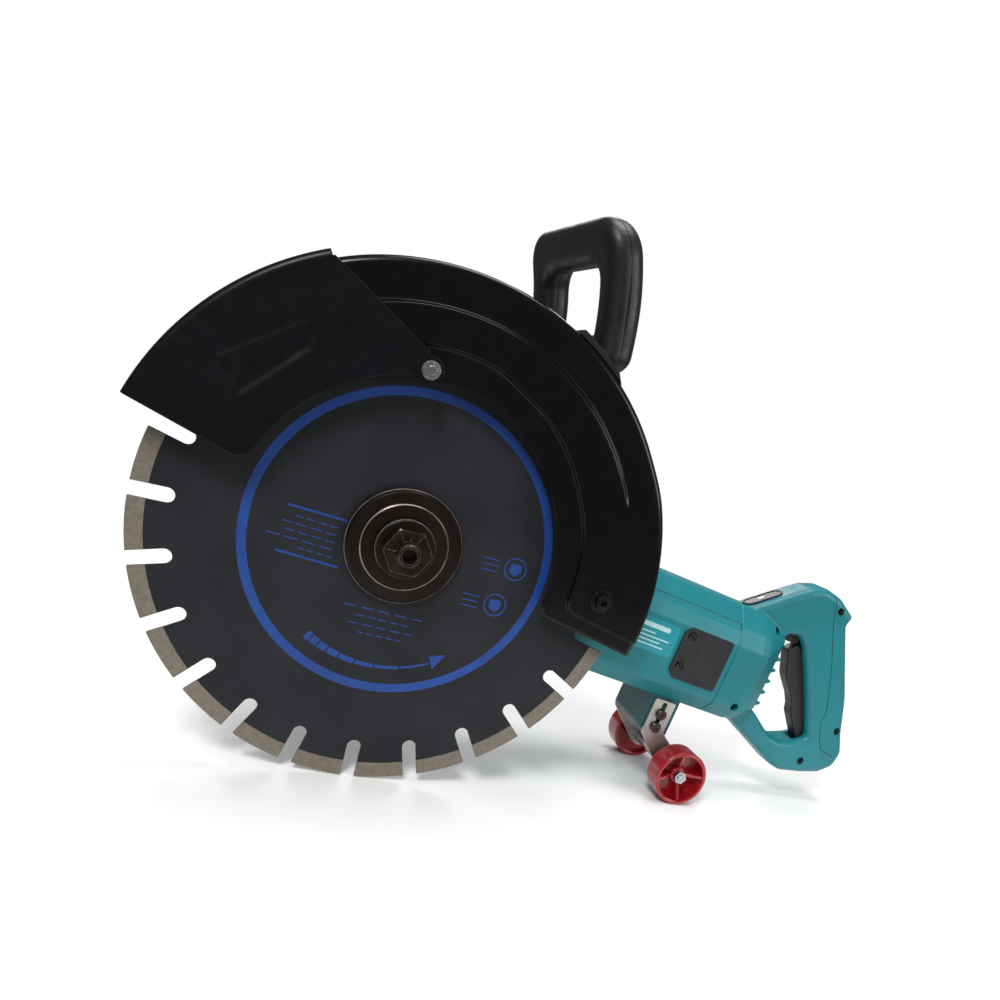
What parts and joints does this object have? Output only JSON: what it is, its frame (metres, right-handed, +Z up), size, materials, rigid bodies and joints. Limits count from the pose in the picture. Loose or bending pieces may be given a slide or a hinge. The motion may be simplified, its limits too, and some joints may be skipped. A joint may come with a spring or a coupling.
{
  "type": "cut-off saw",
  "caption": "Mains-electric cut-off saw with a slotted segmented blade, fixed and hinged guards, loop front handle, rear trigger handle and guide wheels.",
  "frame": {"origin": "on the floor under the middle of the saw's bounding box, with the saw resting on its blade and both guide wheels", "axes": "+X along the saw towards its rear handle, +Y along the spindle away from the blade side, +Z up"},
  "size_m": [0.6587, 0.169, 0.4348],
  "materials": {
    "blade_steel": "dark lacquered saw steel",
    "diamond_segment": "sintered, grey-brown",
    "flange_steel": "turned and blackened steel",
    "bright_steel": "bright zinc plated",
    "gear_steel": "hardened steel",
    "cast_grey": "die cast, dark grey paint",
    "guard_black": "gloss black enamel",
    "visor_black": "satin black enamel",
    "rubber_black": "matt black",
    "teal_plastic": "moulded, satin teal",
    "black_plastic": "moulded, satin black",
    "lamination": "stacked electrical steel",
    "copper": "enamelled copper",
    "fan_plastic": "moulded",
    "brass": "stamped",
    "carbon": "pressed carbon",
    "board_green": "potted board",
    "window": "smoked",
    "plate_steel": "zinc plated sheet",
    "wheel_red": "gloss red"
  },
  "bodies": {
    "machine": {"spindle_bearings": "bright_steel", "gear_housing": "cast_grey", "bearing_cover": "cast_grey", "bearing_cover_screws": "bright_steel", "guard_shell": "guard_black", "guard_back": "guard_black", "guard_mount_screws": "bright_steel", "dust_flap": "rubber_black", "dust_flap_screw": "visor_black", "front_guard_bolts": "bright_steel", "front_guard_nuts": "bright_steel", "motor_housing": "teal_plastic", "housing_bolts": "bright_steel", "bearing_plate": "cast_grey", "stator_core": "lamination", "field_coils": "copper", "fan_baffle": "black_plastic", "rotor_bearings": "bright_steel", "brush_holders": "brass", "carbon_brushes": "carbon", "brush_cover_near": "black_plastic", "brush_cover_far": "black_plastic", "brush_cover_screws": "bright_steel", "rear_housing_near": "teal_plastic", "rear_housing_far": "teal_plastic", "handle_screws": "bright_steel", "trigger_pin": "bright_steel", "trigger_switch": "black_plastic", "speed_module": "board_green", "indicator_window": "window", "cord_inlet": "rubber_black", "front_handle": "black_plastic", "handle_foot": "visor_black", "handle_bracket": "visor_black", "handle_bolts": "bright_steel", "bracket_screws": "visor_black"},
    "spindle_set": {"spindle": "gear_steel", "bevel_gear": "gear_steel", "inner_flange": "flange_steel", "outer_flange": "flange_steel", "spindle_washer": "flange_steel", "spindle_nut": "flange_steel", "blade_core": "blade_steel", "blade_segments": "diamond_segment"},
    "rotor": {"rotor_shaft": "gear_steel", "armature_core": "lamination", "armature_windings": "copper", "commutator": "copper", "pinion": "gear_steel", "fan": "fan_plastic"},
    "front_guard": {"front_guard": "visor_black"},
    "wheel_bracket": {"bracket_plate_near": "plate_steel", "bracket_plate_far": "plate_steel", "wheel_axle": "bright_steel", "wheel_sleeves": "bright_steel", "axle_nuts": "bright_steel"},
    "near_wheel": {"wheel_near": "wheel_red"},
    "far_wheel": {"wheel_far": "wheel_red"},
    "trigger": {"trigger": "black_plastic"},
    "lock_button": {"lock_button": "black_plastic"}
  },
  "joints": [
    {"name": "blade_spin", "type": "hinge", "parent": "machine", "child": "spindle_set", "pos_m": [-0.14, -0.0465, 0.175], "axis": [0, 1, 0], "continuous": true},
    {"name": "rotor_spin", "type": "hinge", "parent": "machine", "child": "rotor", "pos_m": [-0.14, 0.0255, 0.175], "axis": [0.9877, 0, -0.1564], "continuous": true},
    {"name": "front_guard_lift", "type": "hinge", "parent": "machine", "child": "front_guard", "pos_m": [-0.153, -0.0465, 0.295], "axis": [0, 1, 0], "range_deg": [0, 35]},
    {"name": "bracket_height", "type": "slide", "parent": "machine", "child": "wheel_bracket", "axis": [-0.1564, 0, -0.9877], "range_m": [0, 0.008]},
    {"name": "near_wheel_spin", "type": "hinge", "parent": "wheel_bracket", "child": "near_wheel", "pos_m": [0.1402, -0.0225, 0.02381], "axis": [0, 1, 0], "continuous": true},
    {"name": "far_wheel_spin", "type": "hinge", "parent": "wheel_bracket", "child": "far_wheel", "pos_m": [0.1402, 0.0735, 0.02381], "axis": [0, 1, 0], "continuous": true},
    {"name": "trigger_pull", "type": "hinge", "parent": "machine", "child": "trigger", "pos_m": [0.28775, 0.0255, 0.05663], "axis": [0, 1, 0], "range_deg": [0, 7], "stiffness_Nm_per_rad": 0.6, "springref_deg": -5.73},
    {"name": "lock_press", "type": "slide", "parent": "machine", "child": "lock_button", "axis": [0.1564, 0, 0.9877], "range_m": [0, 0.0035], "stiffness_N_per_m": 400, "springref_m": -0.002}
  ],
  "couplings": [
    {"joint": "rotor_spin", "follows": "blade_spin", "ratio": 4.4444}
  ]
}
